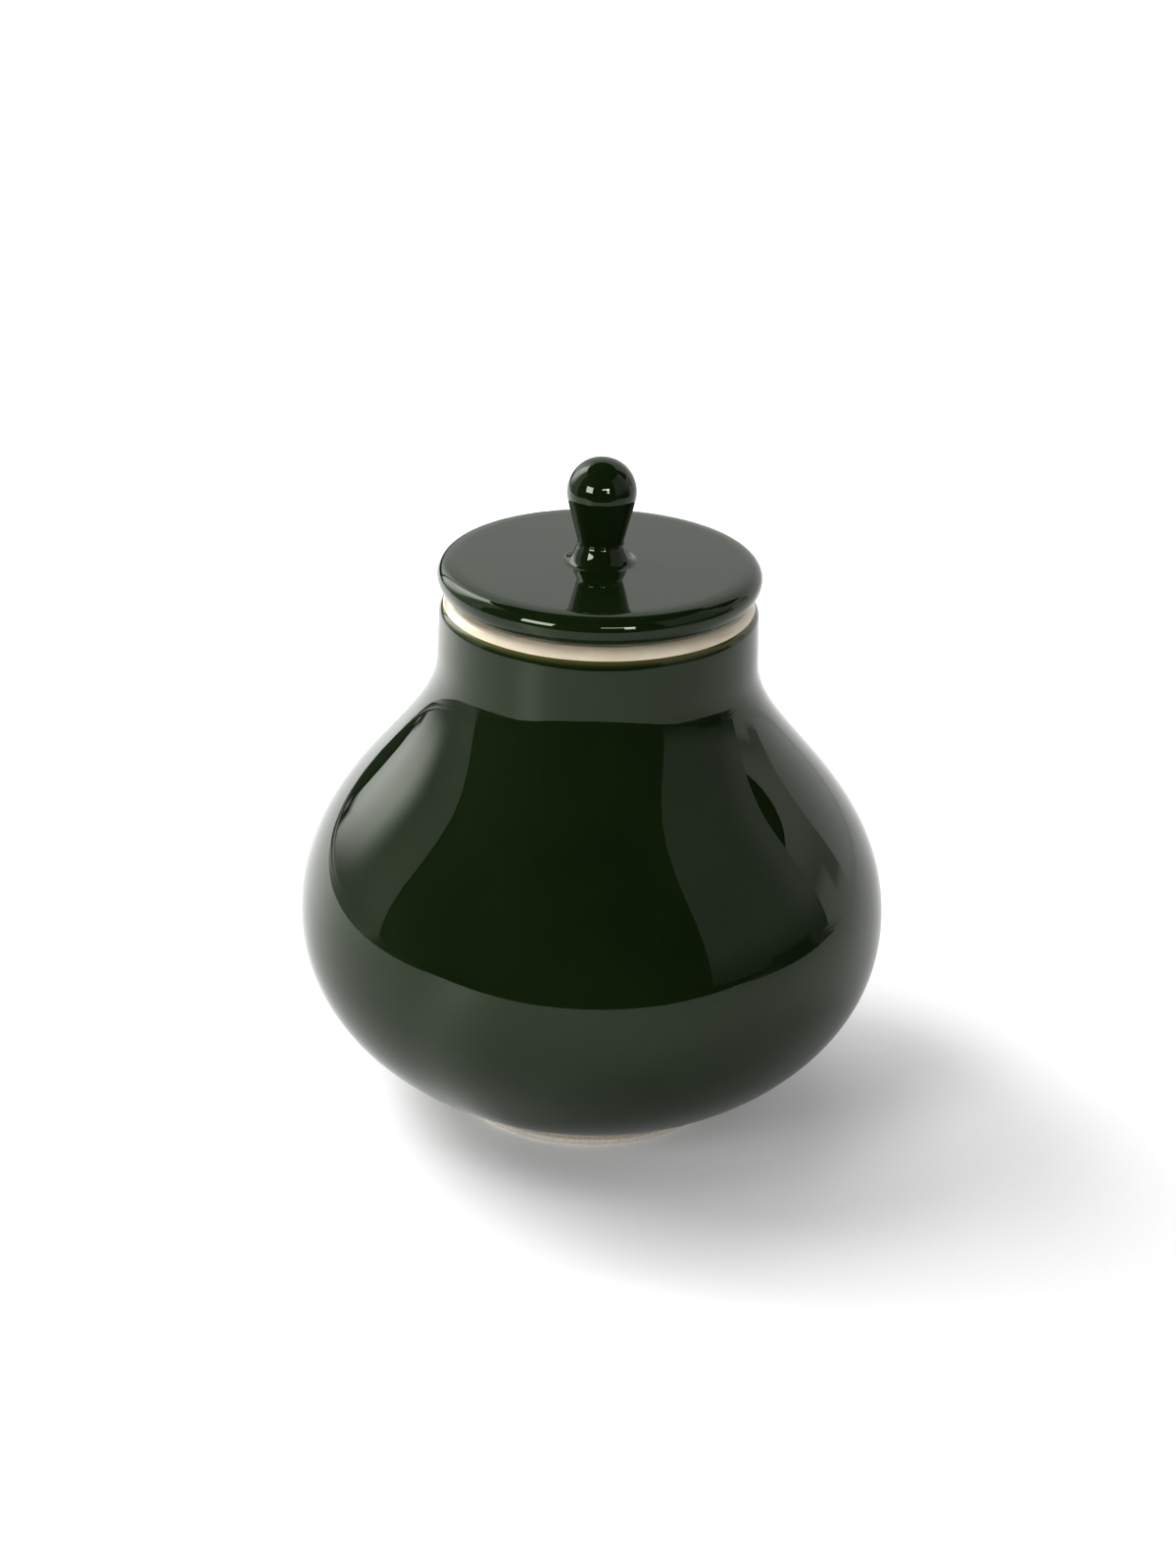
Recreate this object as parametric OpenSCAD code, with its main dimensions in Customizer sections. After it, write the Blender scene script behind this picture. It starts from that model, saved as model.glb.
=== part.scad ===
// Inkwell: a round-bellied stoneware jar with a drop-in lid and a pinch knob.
//
// The jar and the lid are the two loose pieces. Each is fired clay under fused coats of glaze:
// green outside, clear over cream clay inside and over the lip. The foot ring and the lid's seat
// are wiped bare. Everything is a solid of revolution about Z, standing on z = 0.
// Outlines are lists of [radius, height]. They describe the finished surface, over the glaze,
// and the clay lies one coat under it.

/* [Jar] */
// Diameter of the belly, over the glaze
belly_d = 90; // [86:0.5:94]
// Height of the widest part of the belly
belly_z = 30.8; // [29:0.2:33]
// Height at which the shoulder becomes the neck
neck_z = 72; // [70:0.5:74]
// Diameter of the neck where it leaves the shoulder
neck_d = 48.5; // [48.2:0.1:49]
// Diameter of the neck just under the lip
rim_d = 48; // [47.6:0.1:48.2]
// Height of the top of the lip
lip_z = 82.45; // [82:0.05:83]
// Inside diameter of the mouth, in the clay
mouth_d = 39.6; // [38.8:0.1:40.4]
// Thickness of the clay wall
wall = 3; // [2.6:0.1:3.4]

/* [Jar curve] */
// Slope of the underside where it leaves the foot, in degrees
base_angle = 23.8; // [22:0.2:26]
// Reach of the underside's curve out of the foot
base_pull = 11.8; // [10:0.2:14]
// Reach of the curve just under the widest part
belly_pull = 16; // [14:0.5:17]
// Reach of the curve just over the widest part
shoulder_pull = 20; // [18:0.5:22]
// Reach of the hollow curve under the neck
neck_pull = 12.7; // [11:0.1:14]
// How far that hollow curve leans out from the neck
neck_lean = 0.65; // [0.3:0.05:1]

/* [Foot] */
// Outside diameter of the foot ring
foot_d = 42.6; // [42:0.1:43.2]
// Width of the foot ring
foot_w = 3; // [2.4:0.1:3.6]
// Height of the foot ring's outside wall
foot_h = 0.95; // [0.85:0.05:1.1]
// Depth of the hollow under the base
recess_h = 1.8; // [1.4:0.1:2.2]
// Height of the inside floor above the table
floor_z = 4.7; // [4.5:0.1:5.5]

/* [Lid] */
// Diameter of the lid, over the glaze
lid_d = 48.6; // [48:0.1:49.2]
// Thickness of the lid's disc, over the glaze
lid_t = 5.3; // [5:0.1:5.6]
// Width of the gentle fall at the edge of the lid's flat top
lid_fall_w = 1.6; // [1:0.1:2.4]
// Slope at the end of that fall, in degrees
lid_fall_angle = 12; // [6:1:16]
// Radius of the lid's upper edge
lid_corner = 2; // [1.6:0.1:2.4]
// Gap between the lid's seat and the lip
seat_gap = 0.1; // [0.05:0.01:0.2]
// Depth of the ring that locates the lid in the mouth
flange_h = 5; // [4.6:0.1:6]
// Thickness of that ring
flange_t = 2.6; // [2.2:0.1:3]
// Gap between that ring and the mouth, on each side
flange_gap = 0.5; // [0.3:0.05:0.8]

/* [Knob] */
// Diameter of the knob's ball, over the glaze
ball_d = 10.4; // [9.8:0.1:11]
// Height of the ball's centre above the lid
ball_h = 10.8; // [10.4:0.1:11.2]
// Diameter of the waist, over the glaze
waist_d = 6.9; // [6.4:0.1:7.4]
// Height of the waist above the lid
waist_h = 3.1; // [2.8:0.1:3.4]
// Reach of the flare from the waist out onto the lid
flare_r = 2.3; // [2:0.1:2.8]
// Radius of the hollow at the waist
waist_hollow = 1.2; // [0.9:0.1:1.6]
// Diameter of the tenon under the knob
tenon_d = 5; // [4:0.1:5.4]
// Depth of that tenon
tenon_h = 1.6; // [1:0.1:2.4]

/* [Glaze] */
// Thickness of the green coat
glaze_t = 0.35; // [0.25:0.05:0.4]
// Thickness of the clear coat
liner_t = 0.2; // [0.15:0.05:0.25]
// Thickness at the feathered edge of a coat
edge_t = 0.08; // [0.05:0.01:0.12]
// How far up the lip's round the green coat runs, in steps of 7.5 degrees
lip_glaze_steps = 4; // [3:1:5]
// Length over which the green coat's lower edge rounds off
bead = 0.9; // [0.6:0.1:1.2]

/* [Hidden] */
$fn = 120;

GREEN = [0.07, 0.13, 0.05];
CREAM = [0.85, 0.80, 0.71];
CLEAR = [0.93, 0.90, 0.83];

belly_r = belly_d / 2;
neck_r = neck_d / 2;
rim_r = rim_d / 2;
mouth_r = mouth_d / 2;
foot_r = foot_d / 2;
recess_r = foot_r - foot_w;
edge_round = 0.35;       // on the foot ring's corners
recess_round = 1.1;      // where the hollow under the base meets the foot ring
groove_r = foot_r - 1.1; // bottom of the groove over the foot ring
groove_z = 1.25;
glaze_start_r = foot_r - 0.4;

// The lip is an outer round and a smaller inner one that meet at the crown.
clay_lip_z = lip_z - liner_t;
lip_round = 2.55;
lip_steps = 12;          // in the outer round's quarter turn
lip_step = 90 / lip_steps;
crown_r = rim_r - glaze_t - lip_round;
lip_c = [crown_r, clay_lip_z - lip_round];
mouth_round = crown_r - mouth_r;
mouth_c = [crown_r, clay_lip_z - mouth_round];
bore_z = neck_z + 2;     // lower end of the mouth's straight wall

// The lid sits on the crown of the lip.
lid_z = lip_z + seat_gap;
lid_top_z = lid_z + lid_t;
lid_r = lid_d / 2;
lid_fall_r = lid_fall_w / sin(lid_fall_angle);
lid_corner_z = lid_top_z - lid_fall_r * (1 - cos(lid_fall_angle))
             - lid_corner * cos(lid_fall_angle);
lid_corner_c = [lid_r - lid_corner, lid_corner_z];
lid_fall_c = lid_corner_c + (lid_corner - lid_fall_r) * at_angle(90 - lid_fall_angle);
lid_edge = lid_corner_z - lid_z;    // radius of the lid's lower edge
lid_edge_c = [lid_r - lid_edge, lid_corner_z];
lid_glaze_end = -75;     // degrees round the lid's edge, under the lid
seat_r = lid_edge_c[0] + 0.1;
flange_r = mouth_r - liner_t - flange_gap;
pocket_r = flange_r - flange_t;
pocket_round = 1.2;
flange_round = 0.6;

ball_r = ball_d / 2;
ball_c = [0, lid_top_z + ball_h];
ball_end = -14;          // degrees below the ball's middle where the stem leaves it
stem_slope = 15;         // degrees off vertical at the stem's lower end
flare_slope = 30;        // degrees off vertical where the flare leaves the waist
knob_base_r = waist_d / 2 + 0.9;

// --- curves -------------------------------------------------------------------------------

function bezier(a, b, c, d, n) =
    [for (i = [0:n])
        let (t = i / n, u = 1 - t)
        u * u * u * a + 3 * u * u * t * b + 3 * u * t * t * c + t * t * t * d];

function arc(centre, r, from, to, n) =
    [for (i = [0:n])
        let (a = from + (to - from) * i / n)
        centre + r * [cos(a), sin(a)]];

function unit(v) = v / norm(v);
function tail(path) = [for (i = [1:len(path) - 1]) path[i]];
function reversed(path) = [for (i = [len(path) - 1:-1:0]) path[i]];
function at_angle(a) = [cos(a), sin(a)];

// The direction out of the solid at a point of a path that keeps the solid on its left.
function outward(path, i) =
    let (d = unit(path[min(i + 1, len(path) - 1)] - path[max(i - 1, 0)]))
    [d[1], -d[0]];

// A path moved out by one distance, or in by a negative one.
function shifted(path, by) = [for (i = [0:len(path) - 1]) path[i] + by * outward(path, i)];

// --- outlines of the jar, all from the foot upwards -----------------------------------------

base_start = [foot_r - 1.2, 1.3];

jar_skin = concat(
    bezier(base_start, base_start + base_pull * at_angle(base_angle),
           [belly_r, belly_z - belly_pull], [belly_r, belly_z], 32),
    tail(bezier([belly_r, belly_z], [belly_r, belly_z + shoulder_pull],
                [neck_r + neck_lean, neck_z - neck_pull], [neck_r, neck_z], 40)));

jar_clay = shifted(jar_skin, -glaze_t);

// The clay's outside from the groove over the foot to the crown of the lip.
clay_side = concat([for (p = jar_clay) if (p[0] > groove_r || p[1] > belly_z) p],
                   arc(lip_c, lip_round, 0, 90, lip_steps));

// The same wall seen from inside: it keeps its thickness, then narrows to the mouth.
wall_inside = [for (p = shifted(jar_clay, -wall)) if (p[1] < neck_z - 8) p];
floor_join = [for (p = wall_inside) if (p[0] > foot_r + 4 || p[1] > belly_z) p];
join_way = unit(floor_join[1] - floor_join[0]);
last_in = len(floor_join) - 1;
neck_way = unit(floor_join[last_in] - floor_join[last_in - 1]);

cavity = concat(
    [[0, floor_z]],
    bezier([foot_r - 9, floor_z], [foot_r - 3, floor_z],
           floor_join[0] - 4 * join_way, floor_join[0], 8),
    tail(floor_join),
    tail(bezier(floor_join[last_in], floor_join[last_in] + 4 * neck_way,
                [mouth_r, bore_z - 3], [mouth_r, bore_z], 8)),
    arc(mouth_c, mouth_round, 180, 90, 8));

foot_outline = concat(
    [[0, recess_h]],
    arc([recess_r - recess_round, recess_h - recess_round], recess_round, 90, 0, 6),
    arc([recess_r + edge_round, edge_round], edge_round, 180, 270, 4),
    arc([foot_r - edge_round, edge_round], edge_round, -90, 0, 4),
    arc([foot_r - edge_round, foot_h - edge_round], edge_round, 0, 90, 4),
    [[groove_r, groove_z]]);

// --- outlines of the lid, all from the top of the knob outwards and down --------------------

knob_foot = [waist_d / 2 + flare_r, lid_top_z];
stem_start = ball_c + ball_r * at_angle(ball_end);
waist_c = [waist_d / 2 + waist_hollow, lid_top_z + waist_h];
stem_end = waist_c + waist_hollow * at_angle(180 - stem_slope);
flare_start = waist_c + waist_hollow * at_angle(180 + flare_slope);

knob_skin = concat(
    arc(ball_c, ball_r, 90, ball_end, 24),
    tail(bezier(stem_start, stem_start + 2.4 * at_angle(ball_end - 90),
                stem_end + 2 * at_angle(90 - stem_slope), stem_end, 12)),
    tail(arc(waist_c, waist_hollow, 180 - stem_slope, 180 + flare_slope, 6)),
    tail(bezier(flare_start, flare_start + at_angle(flare_slope - 90),
                knob_foot - [1.3, 0], knob_foot, 10)));

lid_skin = concat(
    knob_skin,
    arc(lid_fall_c, lid_fall_r, 90, 90 - lid_fall_angle, 4),
    tail(arc(lid_corner_c, lid_corner, 90 - lid_fall_angle, 0, 12)),
    tail(arc(lid_edge_c, lid_edge, 0, lid_glaze_end, 10)));

// This path runs down, so moving it out takes it into the lid.
lid_clay = concat([ball_c + [0, ball_r - glaze_t]], tail(shifted(lid_skin, glaze_t)));

clay_top_z = lid_top_z - glaze_t;
knob_clay = [for (p = lid_clay) if (p[0] < knob_base_r || p[1] > waist_c[1]) p];
deck_clay = [for (p = lid_clay) if (p[0] >= knob_base_r && p[1] < waist_c[1]) p];
knob_rest = [knob_base_r, clay_top_z];

// --- solids ---------------------------------------------------------------------------------

module turned(outline) {
    rotate_extrude() polygon(outline);
}

// A thin coat between an outline and the same outline one coat away from it.
module coat(inner, outer) {
    turned(concat(inner, reversed(outer)));
}

// Thickness of the green coat at a point of the clay: it rounds off above the foot.
function coat_t(p) =
    p[1] > belly_z ? glaze_t
    : edge_t + (glaze_t - edge_t) * sqrt(min(1, (p[0] - glaze_start_r) / bead));

// The fired jar: foot ring, belly, neck and lip in one piece.
module jar_body() {
    color(CREAM) turned(concat(foot_outline, clay_side, reversed(cavity)));
}

// Green coat from just over the foot to part of the way round the lip.
module jar_outer_glaze() {
    under_lip = arc(lip_c, lip_round, 0, lip_glaze_steps * lip_step, lip_glaze_steps);
    wall_clay = [for (p = jar_clay) if (p[0] > glaze_start_r || p[1] > belly_z) p];
    wall_skin = [for (i = [0:len(jar_clay) - 1])
                    let (p = jar_clay[i])
                    if (p[0] > glaze_start_r || p[1] > belly_z)
                        p + coat_t(p) * outward(jar_clay, i)];
    lip_skin = [for (i = [0:0.5:lip_glaze_steps])
                   let (t = glaze_t + (edge_t - glaze_t) * pow(i / lip_glaze_steps, 2))
                   lip_c + (lip_round + t) * at_angle(i * lip_step)];
    color(GREEN) coat(concat(wall_clay, under_lip), concat(wall_skin, lip_skin));
}

// Clear coat over the crown of the lip, down the mouth and all over the inside.
module jar_inner_glaze() {
    over_lip = arc(lip_c, lip_round, lip_glaze_steps * lip_step, 90, lip_steps - lip_glaze_steps);
    lip_skin = [for (i = [lip_glaze_steps:lip_steps])
                   let (t = edge_t + (liner_t - edge_t) * min(1, (i - lip_glaze_steps) / 4))
                   lip_c + (lip_round + t) * at_angle(i * lip_step)];
    inside = reversed(cavity);
    inside_skin = concat(
        arc(mouth_c, mouth_round + liner_t, 90, 180, 8),
        [for (i = [9:len(inside) - 2]) inside[i] + liner_t * outward(inside, i)],
        [[0, floor_z + liner_t]]);
    color(CLEAR) coat(concat(over_lip, tail(inside)), concat(lip_skin, tail(inside_skin)));
}

// Green coat in the hollow under the base, inside the wiped foot ring.
module base_glaze() {
    corner = [recess_r - recess_round, recess_h - recess_round];
    steps = 4;
    bottom = concat([[0, recess_h]], arc(corner, recess_round, 90, 90 - 15 * steps, steps));
    skin = concat([[0, recess_h - glaze_t]],
                  [for (i = [0:steps])
                      let (t = glaze_t + (edge_t - glaze_t) * pow(i / steps, 2))
                      corner + (recess_round - t) * at_angle(90 - 15 * i)]);
    color(GREEN) coat(bottom, skin);
}

// The fired lid: disc, bare seat and locating ring, with a socket for the knob's tenon.
module lid_body() {
    color(CREAM) turned(concat(
        [[0, clay_top_z - tenon_h], [tenon_d / 2, clay_top_z - tenon_h],
         [tenon_d / 2, clay_top_z], knob_rest],
        deck_clay,
        [[seat_r, lid_z], [flange_r, lid_z]],
        arc([flange_r - flange_round, lid_z - flange_h + flange_round],
            flange_round, 0, -90, 4),
        arc([pocket_r + flange_round, lid_z - flange_h + flange_round],
            flange_round, 270, 180, 4),
        arc([pocket_r - pocket_round, lid_z - pocket_round], pocket_round, 0, 90, 6),
        [[0, lid_z]]));
}

// The knob, formed apart and joined to the lid with slip before firing.
module lid_knob() {
    color(CREAM) turned(concat(
        knob_clay,
        [[knob_base_r, deck_clay[0][1]], knob_rest, [tenon_d / 2, clay_top_z],
         [tenon_d / 2, clay_top_z - tenon_h], [0, clay_top_z - tenon_h]]));
}

// Green coat over the knob, the lid's top and its edge, in one.
module lid_outer_glaze() {
    color(GREEN) coat(lid_skin, lid_clay);
}

// Clear coat in the pocket under the lid.
module lid_inner_glaze() {
    pocket_z = lid_z - flange_h + 1.5;
    clay = concat([[0, lid_z]],
                  arc([pocket_r - pocket_round, lid_z - pocket_round], pocket_round, 90, 0, 6),
                  [[pocket_r, pocket_z]]);
    skin = concat([[0, lid_z - liner_t]],
                  arc([pocket_r - pocket_round, lid_z - pocket_round],
                      pocket_round - liner_t, 90, 0, 6),
                  [[pocket_r - liner_t, pocket_z + liner_t], [pocket_r - edge_t, pocket_z]]);
    color(CLEAR) coat(clay, skin);
}

jar_body();
jar_outer_glaze();
jar_inner_glaze();
base_glaze();
lid_body();
lid_knob();
lid_outer_glaze();
lid_inner_glaze();
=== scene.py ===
"""Inkwell: a glazed stoneware jar with a lid, on a white table in a studio.

Every piece is turned about Z from the section of its CAD node, with far finer rings, so its size
and place are the frame's. The script adds what the frame can't hold: smooth surfaces, the glaze's
depth at each point, the faint unevenness of a hand-made pot, the materials and the studio.
"""
import math

import bpy
import numpy as np
from mathutils import Matrix, Vector, noise


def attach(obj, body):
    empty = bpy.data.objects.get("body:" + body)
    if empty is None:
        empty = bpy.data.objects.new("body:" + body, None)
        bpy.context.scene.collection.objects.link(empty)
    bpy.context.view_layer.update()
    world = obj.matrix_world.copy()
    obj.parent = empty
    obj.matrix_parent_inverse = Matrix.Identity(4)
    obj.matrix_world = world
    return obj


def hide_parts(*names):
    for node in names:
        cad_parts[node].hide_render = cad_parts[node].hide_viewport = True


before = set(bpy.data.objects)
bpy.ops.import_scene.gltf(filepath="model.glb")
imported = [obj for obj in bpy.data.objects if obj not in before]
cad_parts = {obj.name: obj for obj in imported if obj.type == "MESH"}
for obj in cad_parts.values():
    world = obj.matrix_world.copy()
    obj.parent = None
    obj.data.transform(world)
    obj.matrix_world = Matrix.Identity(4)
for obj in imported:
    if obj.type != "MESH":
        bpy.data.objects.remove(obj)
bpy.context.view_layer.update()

MM = 0.001

# --- the camera ---------------------------------------------------------------------------------

CAMERA_PITCH = math.radians(24.13)   # down from level
CAMERA_ROLL = math.radians(1.40)
CAMERA_DISTANCE = 560.35 * MM
CAMERA_LENS = 84.03                  # mm, on a film 36 mm high
CAMERA_TARGET = Vector((-1.0 * MM, 0, 51.2 * MM))


def add_camera():
    forward = Vector((0, math.cos(CAMERA_PITCH), -math.sin(CAMERA_PITCH)))
    level = Vector((1, 0, 0))
    upright = level.cross(forward)
    right = math.cos(CAMERA_ROLL) * level + math.sin(CAMERA_ROLL) * upright
    up = math.cos(CAMERA_ROLL) * upright - math.sin(CAMERA_ROLL) * level
    data = bpy.data.cameras.new("camera")
    data.sensor_fit = "VERTICAL"
    data.sensor_height = 36
    data.lens = CAMERA_LENS
    data.clip_start = 0.01
    camera = bpy.data.objects.new("camera", data)
    bpy.context.collection.objects.link(camera)
    turn = Matrix((right, up, -forward)).transposed().to_4x4()
    camera.matrix_world = Matrix.Translation(CAMERA_TARGET - CAMERA_DISTANCE * forward) @ turn
    bpy.context.scene.camera = camera


add_camera()

# --- sections of the CAD nodes ------------------------------------------------------------------

WELD = 6               # decimals of a metre at which two CAD points are the same
CORNER = math.radians(30)
STRAIGHT = 3           # a step this many times longer than its neighbours is a straight line


def seam_graph(node):
    """The edges of a turned CAD node in the half plane y = 0, x > 0, as a graph of its points."""
    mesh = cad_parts[node].data
    place = {}
    for v in mesh.vertices:
        if abs(v.co.y) < 1e-7 and v.co.x > -1e-9:
            place[v.index] = (round(v.co.x, WELD), round(v.co.z, WELD))
    graph = {p: set() for p in place.values()}
    for edge in mesh.edges:
        a, b = (place.get(i) for i in edge.vertices)
        if a and b and a != b:
            graph[a].add(b)
            graph[b].add(a)
    return graph


def chain_from(graph, start):
    """The run of points that starts at a loose end."""
    chain = [start]
    before, here = None, start
    while True:
        ahead = [p for p in graph[here] if p != before]
        if not ahead or ahead[0] == start:
            return chain
        before, here = here, ahead[0]
        chain.append(here)


def bridge_flats(graph):
    """A flat ring has no seam edge, so its two rims are joined: nearest rims at one height first."""
    while True:
        ends = [p for p in graph if len(graph[p]) == 1]
        best = None
        for a in ends:
            far = chain_from(graph, a)[-1]
            for b in ends:
                gap = abs(a[0] - b[0])
                level = abs(a[1] - b[1]) < 2e-6
                if b != a and level and b != far and (best is None or gap < best[0]):
                    best = (gap, a, b)
        if best is None:
            return
        graph[best[1]].add(best[2])
        graph[best[2]].add(best[1])


def section(node):
    """A turned CAD node's outline as points (radius, height), and whether it is a closed loop."""
    graph = seam_graph(node)
    bridge_flats(graph)
    ends = [p for p in graph if len(graph[p]) == 1]
    start = max(ends, key=lambda p: p[1]) if ends else min(graph)
    chain = chain_from(graph, start)
    if not ends:
        return np.array(chain), True
    if chain[0][0] > 0:
        chain.insert(0, (0.0, chain[0][1]))
    if chain[-1][0] > 0:
        chain.append((0.0, chain[-1][1]))
    return np.array(chain), False


def split_at_corners(points, closed):
    """The outline as smooth runs that end at its corners."""
    if closed:
        points = np.vstack([points, points[:1]])
    steps = np.diff(points, axis=0)
    heading = np.arctan2(steps[:, 1], steps[:, 0])
    bend = np.abs((np.diff(heading) + math.pi) % (2 * math.pi) - math.pi)
    cuts = [0] + [i + 1 for i in range(len(bend)) if bend[i] > CORNER] + [len(points) - 1]
    return [points[a:b + 1] for a, b in zip(cuts, cuts[1:])]


def smoothed(run, longest, turn):
    """A finer run on a smooth curve through its points. Straight lines stay straight."""
    if len(run) == 2:
        count = max(1, math.ceil(np.linalg.norm(run[1] - run[0]) / longest))
        t = np.linspace(0, 1, count + 1)[:, None]
        return run[0] + t * (run[1] - run[0])
    steps = np.diff(run, axis=0)
    length = np.linalg.norm(steps, axis=1)
    way = steps / length[:, None]
    slope = np.empty_like(run)
    near, far = length[1:, None], length[:-1, None]
    slope[1:-1] = (way[:-1] * near + way[1:] * far) / (near + far)
    slope[0] = 2 * way[0] - slope[1]
    slope[-1] = 2 * way[-1] - slope[-2]
    for i in range(len(way)):
        beside = max(length[max(i - 1, 0)] if i else 0, length[i + 1] if i + 1 < len(way) else 0)
        if length[i] > STRAIGHT * beside:
            slope[i] = slope[i + 1] = way[i]
    slope /= np.linalg.norm(slope, axis=1)[:, None]
    out = [run[:1]]
    for i, span in enumerate(length):
        swing = math.acos(np.clip(slope[i] @ slope[i + 1], -1, 1))
        count = max(1, math.ceil(span / longest), math.ceil(swing / turn))
        t = np.linspace(0, 1, count + 1)[1:, None]
        out.append((2 * t**3 - 3 * t**2 + 1) * run[i] + (3 * t**2 - 2 * t**3) * run[i + 1]
                   + span * ((t**3 - 2 * t**2 + t) * slope[i] + (t**3 - t**2) * slope[i + 1]))
    return np.vstack(out)


def fine_outline(node, longest=1.2 * MM, turn=math.radians(4)):
    points, closed = section(node)
    runs = [smoothed(run, longest, turn) for run in split_at_corners(points, closed)]
    fine = np.vstack([runs[0]] + [run[1:] for run in runs[1:]])
    if closed:
        fine = fine[:-1]
    fine[:, 0] = np.maximum(fine[:, 0], 0)
    return fine, closed


def distance_to(points, outline):
    """Each point's distance from an outline."""
    a, b = outline[:-1], outline[1:]
    along = b - a
    t = np.einsum("pij,ij->pi", points[:, None] - a, along) / np.maximum((along**2).sum(1), 1e-18)
    nearest = a + np.clip(t, 0, 1)[..., None] * along
    return np.linalg.norm(points[:, None] - nearest, axis=2).min(axis=1)


# --- turned pieces ------------------------------------------------------------------------------

AROUND = 256           # steps round the axis
UNEVEN = 0.010 * MM    # how far the hand-made surface strays from the true one
UNEVEN_SIZE = 17 * MM  # the usual width of a swell


def turned(node, body, depth_over=None, around=AROUND):
    """A piece turned from a CAD node's section. depth_over names the node that a coat lies on:
    the coat's depth over it, 0 to 1 of a full coat, is kept on each point as glaze_depth."""
    outline, closed = fine_outline(node)
    depth = np.zeros(len(outline))
    if depth_over:
        depth = np.min([distance_to(outline, section(under)[0]) for under in depth_over], axis=0)
        depth = depth / depth.max()
    vertices, depths, rings = [], [], []
    for (r, z), d in zip(outline, depth):
        if r < 1e-7:
            rings.append([len(vertices)])
            vertices.append((0.0, 0.0, z))
            depths.append(d)
            continue
        rings.append(list(range(len(vertices), len(vertices) + around)))
        for k in range(around):
            a = 2 * math.pi * k / around
            p = Vector((r * math.cos(a), r * math.sin(a), z))
            swell = UNEVEN * noise.noise(p / UNEVEN_SIZE)
            vertices.append((p.x + swell * math.cos(a), p.y + swell * math.sin(a), z))
            depths.append(d)
    faces = []
    pairs = list(zip(rings, rings[1:]))
    if closed:
        pairs.append((rings[-1], rings[0]))
    for low, high in pairs:
        for k in range(around):
            n = (k + 1) % around
            if len(low) == 1:
                faces.append((low[0], high[n], high[k]))
            elif len(high) == 1:
                faces.append((low[k], low[n], high[0]))
            else:
                faces.append((low[k], low[n], high[n], high[k]))
    piece = add_mesh("turned_" + node, vertices, faces)
    layer = piece.data.attributes.new("glaze_depth", "FLOAT", "POINT")
    layer.data.foreach_set("value", depths)
    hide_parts(node)
    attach(piece, body)
    return piece


def add_mesh(name, vertices, faces):
    """A smooth-shaded mesh whose faces all look outwards and whose corners stay crisp."""
    mesh = bpy.data.meshes.new(name)
    mesh.from_pydata(vertices, [], faces)
    mesh.update()
    if signed_volume(mesh) < 0:
        mesh.flip_normals()
    mesh.shade_smooth()
    mesh.set_sharp_from_angle(angle=CORNER)
    piece = bpy.data.objects.new(name, mesh)
    bpy.context.collection.objects.link(piece)
    return piece


def signed_volume(mesh):
    total = 0.0
    for face in mesh.polygons:
        total += face.area * face.normal.dot(face.center)
    return total


# --- materials ----------------------------------------------------------------------------------

GREEN = (0.0082, 0.0180, 0.0040, 1)
OLIVE = (0.085, 0.085, 0.028, 1)
CREAM = (0.74, 0.665, 0.54, 1)
CLAY = (0.70, 0.655, 0.585, 1)


def new_material(name):
    material = bpy.data.materials.new(name)
    material.use_nodes = True
    nodes = material.node_tree.nodes
    return material, nodes, material.node_tree.links, nodes["Principled BSDF"]


def add_noise(nodes, links, scale, detail=2.0, roughness=0.5):
    """3-D noise that sits still in the object's own space. Scale is in waves a metre."""
    where = nodes.new("ShaderNodeTexCoord")
    grain = nodes.new("ShaderNodeTexNoise")
    grain.inputs["Scale"].default_value = scale
    grain.inputs["Detail"].default_value = detail
    grain.inputs["Roughness"].default_value = roughness
    links.new(where.outputs["Object"], grain.inputs["Vector"])
    return grain.outputs["Fac"]


def add_range(nodes, links, source, low, high, to_low, to_high):
    """A value stretched from one range to another, with soft ends."""
    node = nodes.new("ShaderNodeMapRange")
    node.interpolation_type = "SMOOTHSTEP"
    node.inputs["From Min"].default_value = low
    node.inputs["From Max"].default_value = high
    node.inputs["To Min"].default_value = to_low
    node.inputs["To Max"].default_value = to_high
    links.new(source, node.inputs["Value"])
    return node.outputs["Result"]


def add_mix(nodes, links, amount, first, second):
    """Two colours mixed. Each is a colour or another node's output."""
    node = nodes.new("ShaderNodeMix")
    node.data_type = "RGBA"
    links.new(amount, node.inputs["Factor"])
    for socket, colour in ((node.inputs["A"], first), (node.inputs["B"], second)):
        if isinstance(colour, tuple):
            socket.default_value = colour
        else:
            links.new(colour, socket)
    return node.outputs["Result"]


def add_bump(nodes, links, height, distance, shader):
    bump = nodes.new("ShaderNodeBump")
    bump.inputs["Strength"].default_value = 1.0
    bump.inputs["Distance"].default_value = distance
    links.new(height, bump.inputs["Height"])
    links.new(bump.outputs["Normal"], shader.inputs["Normal"])


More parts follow.
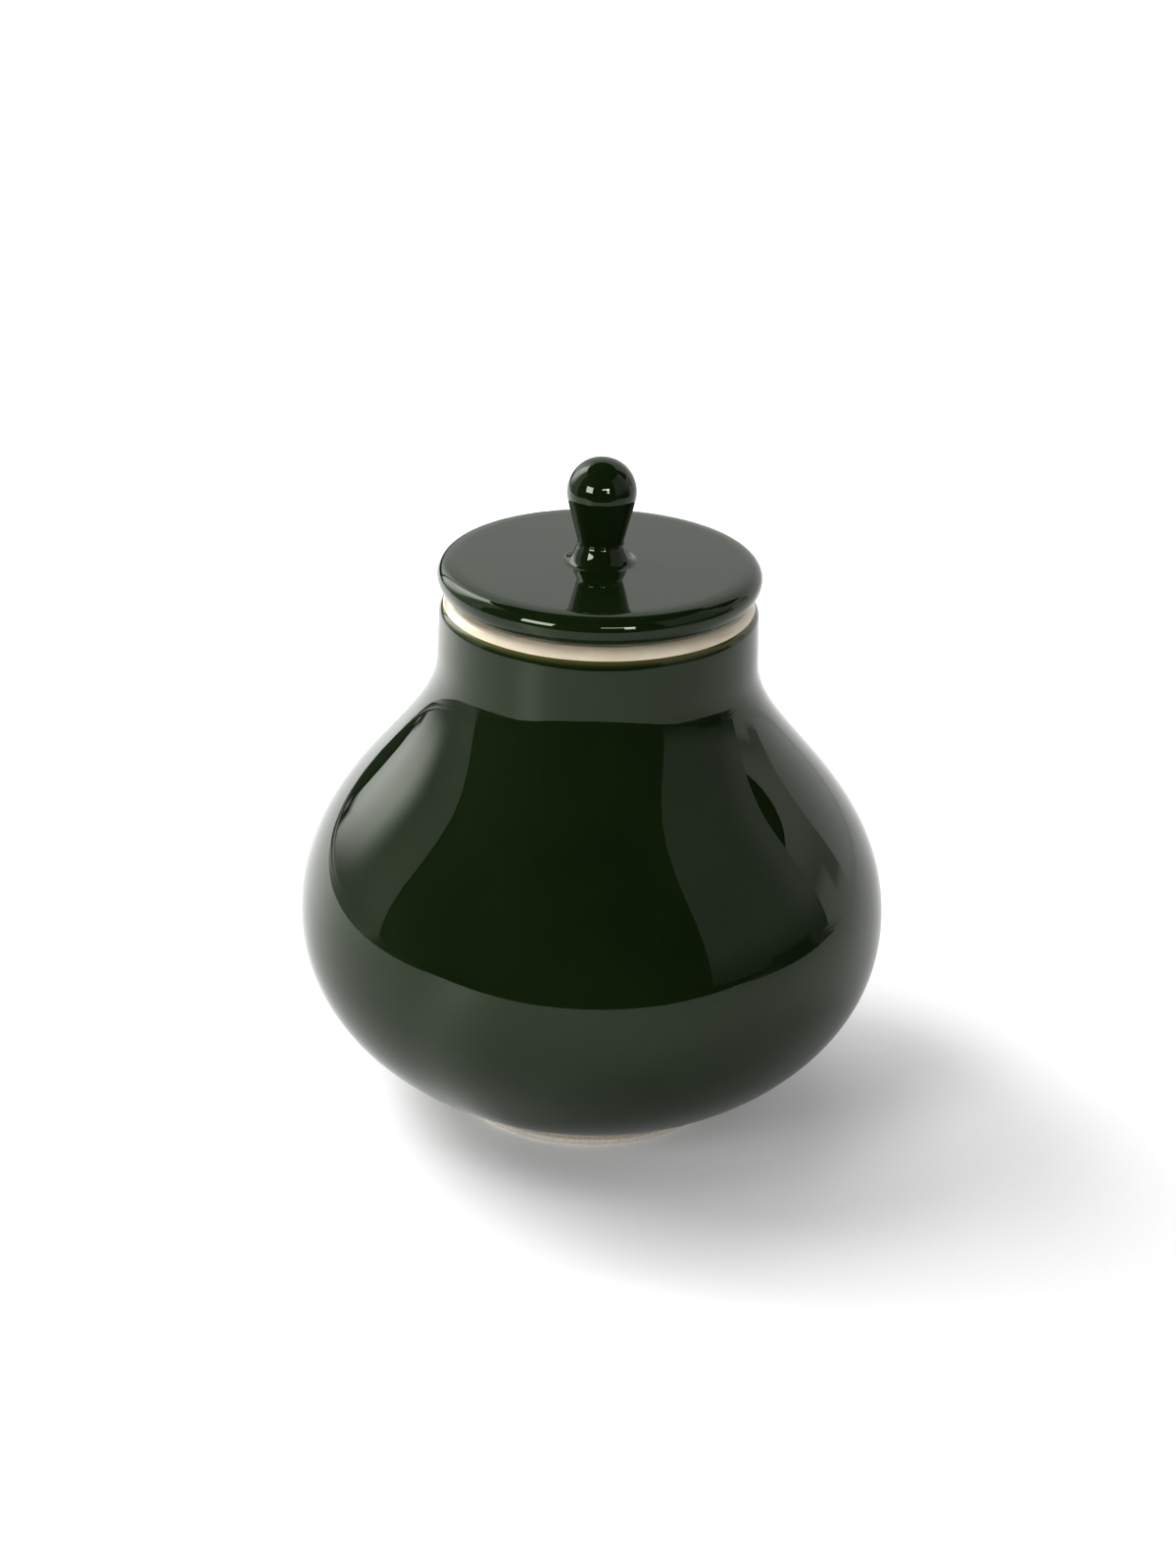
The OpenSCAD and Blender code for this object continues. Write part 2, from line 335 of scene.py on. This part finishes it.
def green_glaze():
    """Thick dark green glass over cream clay: olive where it runs thin, deeper where it pools."""
    material, nodes, links, shader = new_material("green_glaze")
    depth = nodes.new("ShaderNodeAttribute")
    depth.attribute_name = "glaze_depth"
    thin = add_range(nodes, links, depth.outputs["Fac"], 0.45, 0.95, 1, 0)
    cloud = add_range(nodes, links, add_noise(nodes, links, 60, 3), 0.35, 0.65, 0, 1)
    pooled = tuple(0.82 * c for c in GREEN[:3]) + (1,)
    body = add_mix(nodes, links, cloud, GREEN, pooled)
    links.new(add_mix(nodes, links, thin, body, OLIVE), shader.inputs["Base Color"])
    haze = add_range(nodes, links, add_noise(nodes, links, 140, 2), 0.3, 0.7, 0.015, 0.035)
    links.new(haze, shader.inputs["Roughness"])
    shader.inputs["IOR"].default_value = 1.52
    shader.inputs["Specular Tint"].default_value = (0.93, 1, 0.86, 1)
    add_bump(nodes, links, add_noise(nodes, links, 420, 1), 0.004 * MM, shader)
    return material


def clear_glaze():
    """Clear glass over cream clay."""
    material, nodes, links, shader = new_material("clear_glaze")
    cloud = add_range(nodes, links, add_noise(nodes, links, 180, 4), 0.35, 0.65, 0, 1)
    warm = (0.70, 0.62, 0.49, 1)
    links.new(add_mix(nodes, links, cloud, CREAM, warm), shader.inputs["Base Color"])
    haze = add_range(nodes, links, add_noise(nodes, links, 300, 2), 0.3, 0.7, 0.04, 0.09)
    links.new(haze, shader.inputs["Roughness"])
    shader.inputs["IOR"].default_value = 1.5
    shader.inputs["Subsurface Weight"].default_value = 0.12
    shader.inputs["Subsurface Radius"].default_value = (1.2 * MM, 0.9 * MM, 0.6 * MM)
    add_bump(nodes, links, add_noise(nodes, links, 500, 1), 0.004 * MM, shader)
    return material


def bare_clay():
    """Unglazed fired clay, wiped with a sponge: fine grained and matt."""
    material, nodes, links, shader = new_material("bare_clay")
    grain = add_noise(nodes, links, 2600, 5, 0.65)
    speck = add_range(nodes, links, grain, 0.40, 0.62, 0, 1)
    dark = (0.60, 0.545, 0.47, 1)
    links.new(add_mix(nodes, links, speck, dark, CLAY), shader.inputs["Base Color"])
    rough = add_range(nodes, links, grain, 0.3, 0.7, 0.62, 0.82)
    links.new(rough, shader.inputs["Roughness"])
    add_bump(nodes, links, grain, 0.03 * MM, shader)
    return material


def dress(piece, material):
    piece.data.materials.append(material)


def build_pot():
    green = green_glaze()
    clear = clear_glaze()
    clay = bare_clay()
    dress(turned("jar_body", "jar", None, 192), clay)
    dress(turned("jar_outer_glaze", "jar", ["jar_body"]), green)
    dress(turned("jar_inner_glaze", "jar", ["jar_body"], 192), clear)
    dress(turned("base_glaze", "jar", ["jar_body"], 128), green)
    dress(turned("lid_body", "lid", None, 192), clay)
    dress(turned("lid_knob", "lid", None, 96), clay)
    dress(turned("lid_outer_glaze", "lid", ["lid_body", "lid_knob"]), green)
    dress(turned("lid_inner_glaze", "lid", ["lid_body"], 128), clear)


build_pot()

# --- the studio ---------------------------------------------------------------------------------
# Directions are seen from the pot, in degrees. Azimuth 0 is towards the camera and grows to the
# right. Radiances are set against a white sheet in full light, which is 1.

# The table's edges and the room past them show in the glaze only: the camera sees white.
TABLE_FRONT = -0.29
TABLE_LEFT = -0.40
TABLE_RIGHT = 0.42
TABLE_BACK = 1.30
FLOOR_SIZE = 6.0
FLOOR_RINGS = (0.02, 0.04, 0.07, 0.11, 0.16, 0.25, 0.45, 0.9, 2.0, FLOOR_SIZE)
FLOOR_AROUND = 72      # steps round each of those rings
FLOOR_WHITE = 0.76     # how much light the table throws on the pot
FLOOR_SEEN = 0.98      # how much the camera sees: a product picture's table is pushed to white
FLOOR_LIFT = 0.06      # painted glow added to what the camera sees: it pales the shadow by the pot, and grows to 1 far from it
STRIP_STEP = 0.02
STRIP_COLUMNS = (0, 0.06, 0.2, 1)  # shares of a strip's width, finer by the table
STRIP_HEIGHT = 0.5 * MM
SCREEN_RADIUS = 1.5
SCREEN_STEP = 2.5      # degrees between the points of a screen
BOX_DISTANCE = 1.2
WINDOW_DISTANCE = 1.15  # nearer than the boxes, which would hide the windows
WINDOW_RADIANCE = 13
ROOM_DARK = 0.02
BACKDROP_SEEN = 1.05
POT_MIDDLE = Vector((0, 0, 0.05))
CONTRAST = 0.85        # the camera's picture style: under 1 deepens the shadows


def at(azimuth, elevation, distance):
    """A place seen from the pot."""
    a, e = math.radians(azimuth), math.radians(elevation)
    return Vector((math.sin(a) * math.cos(e), -math.cos(a) * math.cos(e), math.sin(e))) * distance


def ramp(value, low, high):
    """0 below low, 1 above high and a soft step between."""
    t = min(max((value - low) / (high - low), 0), 1)
    return t * t * (3 - 2 * t)


def blend(first, second, amount):
    return first + (second - first) * amount


def azimuth_of(x, y):
    return math.degrees(math.atan2(x, -y))


def add_stage(name, vertices, faces, material):
    mesh = bpy.data.meshes.new(name)
    mesh.from_pydata(vertices, [], faces)
    mesh.materials.append(material)
    thing = bpy.data.objects.new(name, mesh)
    bpy.context.collection.objects.link(thing)
    return thing


def set_levels(thing, layer_name, levels):
    layer = thing.data.attributes.new(layer_name, "FLOAT", "POINT")
    layer.data.foreach_set("value", levels)


def empty_nodes(owner):
    """A material's or a world's nodes and links, with nothing in them."""
    owner.use_nodes = True
    owner.node_tree.nodes.clear()
    return owner.node_tree.nodes, owner.node_tree.links


def add_glow(nodes, links, layer_name):
    """Light whose radiance is kept on each point."""
    level = nodes.new("ShaderNodeAttribute")
    level.attribute_name = layer_name
    glow = nodes.new("ShaderNodeEmission")
    links.new(level.outputs["Fac"], glow.inputs["Strength"])
    return glow.outputs["Emission"]


def mix_by_camera_ray(nodes, links, shaders, out):
    """The first shader for light and reflections, the second for what the camera sees."""
    ray = nodes.new("ShaderNodeLightPath")
    mix = nodes.new("ShaderNodeMixShader")
    links.new(ray.outputs["Is Camera Ray"], mix.inputs["Fac"])
    links.new(shaders[0], mix.inputs[1])
    links.new(shaders[1], mix.inputs[2])
    links.new(mix.outputs["Shader"], out.inputs["Surface"])


def painted_table_sheen(azimuth, distance):
    """Painted reflection on the table: glow that stands in for the sheen of a satin table, most of
    all from the softbox and the window. The pot mirrors it and is lit by it; the camera doesn't see
    it.
    """
    near = ramp(distance, 0.05, 0.12)
    far = blend(0.35, 1, ramp(distance, 0.04, 0.18))
    left = ramp(azimuth, -165, -145) * ramp(-azimuth, 25, 36)
    back = ramp(azimuth, 100, 150)
    box = math.exp(-((azimuth + 127) / 28) ** 2)
    window = math.exp(-((azimuth + 46) / 9) ** 2)
    corner = ramp(-azimuth, 145, 165) * ramp(distance, 0.25, 0.6)
    return near * (0.10 + 0.16 * back) + 0.1 * left + far * (0.72 * box + 0.6 * window) + corner


def table_material():
    """White in two ways: with a painted sheen, a glow, for the pot, and with a painted lift, a glow,
    for the camera.
    """
    material = bpy.data.materials.new("table")
    nodes, links = empty_nodes(material)
    sheets = []
    for white, layer_name in ((FLOOR_WHITE, "glow"), (FLOOR_SEEN, "lift")):
        sheet = nodes.new("ShaderNodeBsdfDiffuse")
        sheet.inputs["Color"].default_value = (white, white, white, 1)
        both = nodes.new("ShaderNodeAddShader")
        links.new(sheet.outputs["BSDF"], both.inputs[0])
        links.new(add_glow(nodes, links, layer_name), both.inputs[1])
        sheets.append(both.outputs["Shader"])
    mix_by_camera_ray(nodes, links, sheets, nodes.new("ShaderNodeOutputMaterial"))
    return material


def add_floor():
    """The table, as rings round the pot."""
    vertices, painted_sheens, lifts, faces = [(0, 0, 0)], [0.0], [FLOOR_LIFT], []
    for radius in FLOOR_RINGS:
        for k in range(FLOOR_AROUND):
            place = at(360 * k / FLOOR_AROUND - 180, 0, radius)
            vertices.append(place)
            # painted reflection: glow for the table's sheen, which only the pot sees
            painted_sheens.append(painted_table_sheen(azimuth_of(place.x, place.y), radius))
            # painted lift: glow for the camera that pales the shadow by the pot and whitens the far
            # table
            lifts.append(blend(FLOOR_LIFT, 1, ramp(radius, 0.4, 0.9)))
    for k in range(FLOOR_AROUND):
        n = (k + 1) % FLOOR_AROUND
        faces.append((0, 1 + k, 1 + n))
        for ring in range(len(FLOOR_RINGS) - 1):
            low = 1 + ring * FLOOR_AROUND
            high = low + FLOOR_AROUND
            faces.append((low + k, high + k, high + n, low + n))
    floor = add_stage("floor", vertices, faces, table_material())
    set_levels(floor, "glow", painted_sheens)
    set_levels(floor, "lift", lifts)


def glowing():
    """The material of every screen and strip."""
    material = bpy.data.materials.new("glowing")
    nodes, links = empty_nodes(material)
    out = nodes.new("ShaderNodeOutputMaterial")
    links.new(add_glow(nodes, links, "glow"), out.inputs["Surface"])
    return material


def add_screen(name, material, left, right, low, high, radiance):
    """Part of a dome round the pot, between two azimuths and two elevations. radiance is a
    function of both. The camera looks past it."""
    columns = max(1, math.ceil((right - left) / SCREEN_STEP))
    rows = max(1, math.ceil((high - low) / SCREEN_STEP))
    vertices, levels, faces = [], [], []
    for i in range(columns + 1):
        for j in range(rows + 1):
            azimuth = blend(left, right, i / columns)
            elevation = blend(low, high, j / rows)
            vertices.append(POT_MIDDLE + at(azimuth, elevation, SCREEN_RADIUS))
            levels.append(radiance(azimuth, elevation))
    for i in range(columns):
        for j in range(rows):
            k = i * (rows + 1) + j
            faces.append((k, k + 1, k + rows + 2, k + rows + 1))
    screen = add_stage(name, vertices, faces, material)
    set_levels(screen, "glow", levels)
    screen.visible_camera = False
    screen.visible_shadow = False


def shelf_radiance(azimuth, elevation):
    """Dark shelves, a little paler towards the wall."""
    return blend(0.09, 0.04, ramp(azimuth, -80, -50))


def left_radiance(azimuth, elevation):
    """A soft light hung askew on a pale wall. It fades downwards and to the right."""
    edge = 7 + 0.6 * (azimuth + 132)
    lit = ramp(elevation, edge - 16, edge + 9) * ramp(-azimuth, 106, 120)
    wall = blend(0.80, 0.62, ramp(-azimuth, 92, 106)) * blend(0.78, 1, ramp(elevation, -4, 14))
    box = blend(3.8, 6, ramp(elevation, 18, 40)) * blend(0.7, 1, ramp(azimuth, -142, -133))
    gap = ramp(-azimuth, 136, 138) * ramp(-elevation, -3, -1)
    return blend(blend(wall, box, lit), 0.06, gap)


def back_left_radiance(azimuth, elevation):
    """The backdrop's left end, over a dark gap above the table."""
    backdrop = blend(2.2, 1.0, ramp(-azimuth, 143, 160))
    return blend(0.06, backdrop, ramp(elevation, 4, 9))


def right_radiance(azimuth, elevation):
    """A grey wall that darkens towards the table, with a black box at its foot."""
    wall = blend(0.46, 0.66, ramp(azimuth, 84, 100))
    box = ramp(azimuth, 71, 73) * ramp(-azimuth, -93, -91) * ramp(-elevation, -3, -1)
    return blend(blend(0.16, wall, ramp(elevation, -2, 18)), 0.02, box)


def right_corner_radiance(azimuth, elevation):
    """A pale wall with a low window in it."""
    wall = blend(0.50, 0.92, ramp(elevation, 9, 24))
    window = ramp(-elevation, -11, -9) * ramp(-azimuth, -114, -113)
    skirting = ramp(-elevation, -4, -2)
    return blend(wall, 0.95, max(window, skirting))


def back_radiance(azimuth, elevation):
    """The white backdrop."""
    return blend(1.05, 0.97, ramp(elevation, 5, 24))


def past_left(azimuth):
    """What stands past the table's left edge, down to the table."""
    if azimuth < -141:
        return 0.06
    return blend(left_radiance(azimuth, 0), 0.12, ramp(azimuth, -90, -84))


def past_right(azimuth):
    """What stands past the table's right edge, down to the table."""
    box = ramp(azimuth, 71, 73) * ramp(-azimuth, -93, -91)
    return blend(blend(0.17, 0.02, box), 0.95, ramp(azimuth, 101, 105))


def past_front(azimuth):
    """The dark room in front of the table."""
    return ROOM_DARK


def add_strip(name, material, x0, x1, y0, y1, radiance):
    """A level strip past an edge of the table, seen in the glaze only. radiance is a function of
    azimuth."""
    rows = math.ceil((y1 - y0) / STRIP_STEP)
    across = len(STRIP_COLUMNS)
    vertices, levels, faces = [], [], []
    for j in range(rows + 1):
        y = blend(y0, y1, j / rows)
        for share in STRIP_COLUMNS:
            x = blend(x0, x1, share)
            vertices.append((x, y, STRIP_HEIGHT))
            levels.append(radiance(azimuth_of(x, y)))
    for j in range(rows):
        for i in range(across - 1):
            k = across * j + i
            faces.append((k, k + 1, k + across + 1, k + across))
    strip = add_stage(name, vertices, faces, material)
    set_levels(strip, "glow", levels)
    strip.visible_camera = False
    strip.visible_diffuse = False
    strip.visible_shadow = False


def add_room():
    """What stands round the table, bright enough to show in the glaze."""
    glow = glowing()
    add_screen("shelves", glow, -86, -36, -2, 50, shelf_radiance)
    add_screen("left_wall", glow, -141, -87, -2, 50, left_radiance)
    add_screen("back_left", glow, -180, -143, -2, 52, back_left_radiance)
    add_screen("right_wall", glow, 46, 103, -2, 50, right_radiance)
    add_screen("right_corner", glow, 103, 123, -2, 24, right_corner_radiance)
    add_screen("right_back", glow, 123, 180, -2, 52, back_radiance)
    add_strip("past_left", glow, TABLE_LEFT, -FLOOR_SIZE, TABLE_FRONT, TABLE_BACK, past_left)
    add_strip("past_right", glow, TABLE_RIGHT, FLOOR_SIZE, TABLE_FRONT, TABLE_BACK, past_right)
    add_strip("past_front", glow, -FLOOR_SIZE, FLOOR_SIZE, -FLOOR_SIZE, TABLE_FRONT, past_front)


def add_softbox(name, azimuth, elevation, distance, width, height, radiance):
    """An area light that faces the pot. Its power follows from the radiance wanted of it."""
    data = bpy.data.lights.new(name, "AREA")
    data.shape = "RECTANGLE"
    data.size = width
    data.size_y = height
    data.energy = radiance * math.pi * width * height
    light = bpy.data.objects.new(name, data)
    bpy.context.collection.objects.link(light)
    place = POT_MIDDLE + at(azimuth, elevation, distance)
    turn = (POT_MIDDLE - place).to_track_quat("-Z", "Y").to_matrix().to_4x4()
    light.matrix_world = Matrix.Translation(place) @ turn
    light.visible_camera = False
    return light


def add_lights():
    """Boxes that light everything and that the glaze doesn't mirror, and the images of two windows
    behind the camera, which show on the lid and the lip only."""
    for name, azimuth, elevation, width, height, radiance in (
            ("over_left", -105, 46, 0.80, 0.60, 5.2),
            ("over_back", 180, 58, 0.85, 0.60, 1.8),
            ("front_left", -43, 20, 0.45, 0.40, 9.2),
            ("front_right", 14, 20, 0.45, 0.40, 9.2),
            ("front_top", -43, 60, 0.45, 0.40, 2.6)):
        box = add_softbox(name, azimuth, elevation, BOX_DISTANCE, width, height, radiance)
        box.visible_glossy = False
    shiny = bpy.data.collections.new("shows_windows")
    for name in ("turned_lid_outer_glaze", "turned_jar_inner_glaze"):
        shiny.objects.link(bpy.data.objects[name])
    for name, azimuth, elevation, width, height in (
            ("left_window", -43, 20, 0.45, 0.36),
            ("right_window_head", 14, 26, 0.45, 0.09),
            ("right_window_side", 21.5, 20, 0.14, 0.28)):
        window = add_softbox(name, azimuth, elevation, WINDOW_DISTANCE, width, height,
                             WINDOW_RADIANCE)
        window.visible_diffuse = False
        window.light_linking.receiver_collection = shiny


def add_world():
    """Near black for the glaze, and a white backdrop where the camera looks past the table."""
    world = bpy.data.worlds.new("world")
    nodes, links = empty_nodes(world)
    shades = []
    for level in (ROOM_DARK, BACKDROP_SEEN):
        shade = nodes.new("ShaderNodeBackground")
        shade.inputs["Color"].default_value = (1, 1, 1, 1)
        shade.inputs["Strength"].default_value = level
        shades.append(shade.outputs["Background"])
    mix_by_camera_ray(nodes, links, shades, nodes.new("ShaderNodeOutputWorld"))
    bpy.context.scene.world = world


add_floor()
add_room()
add_lights()
add_world()
view = bpy.context.scene.view_settings
view.view_transform = "Standard"
view.gamma = CONTRAST
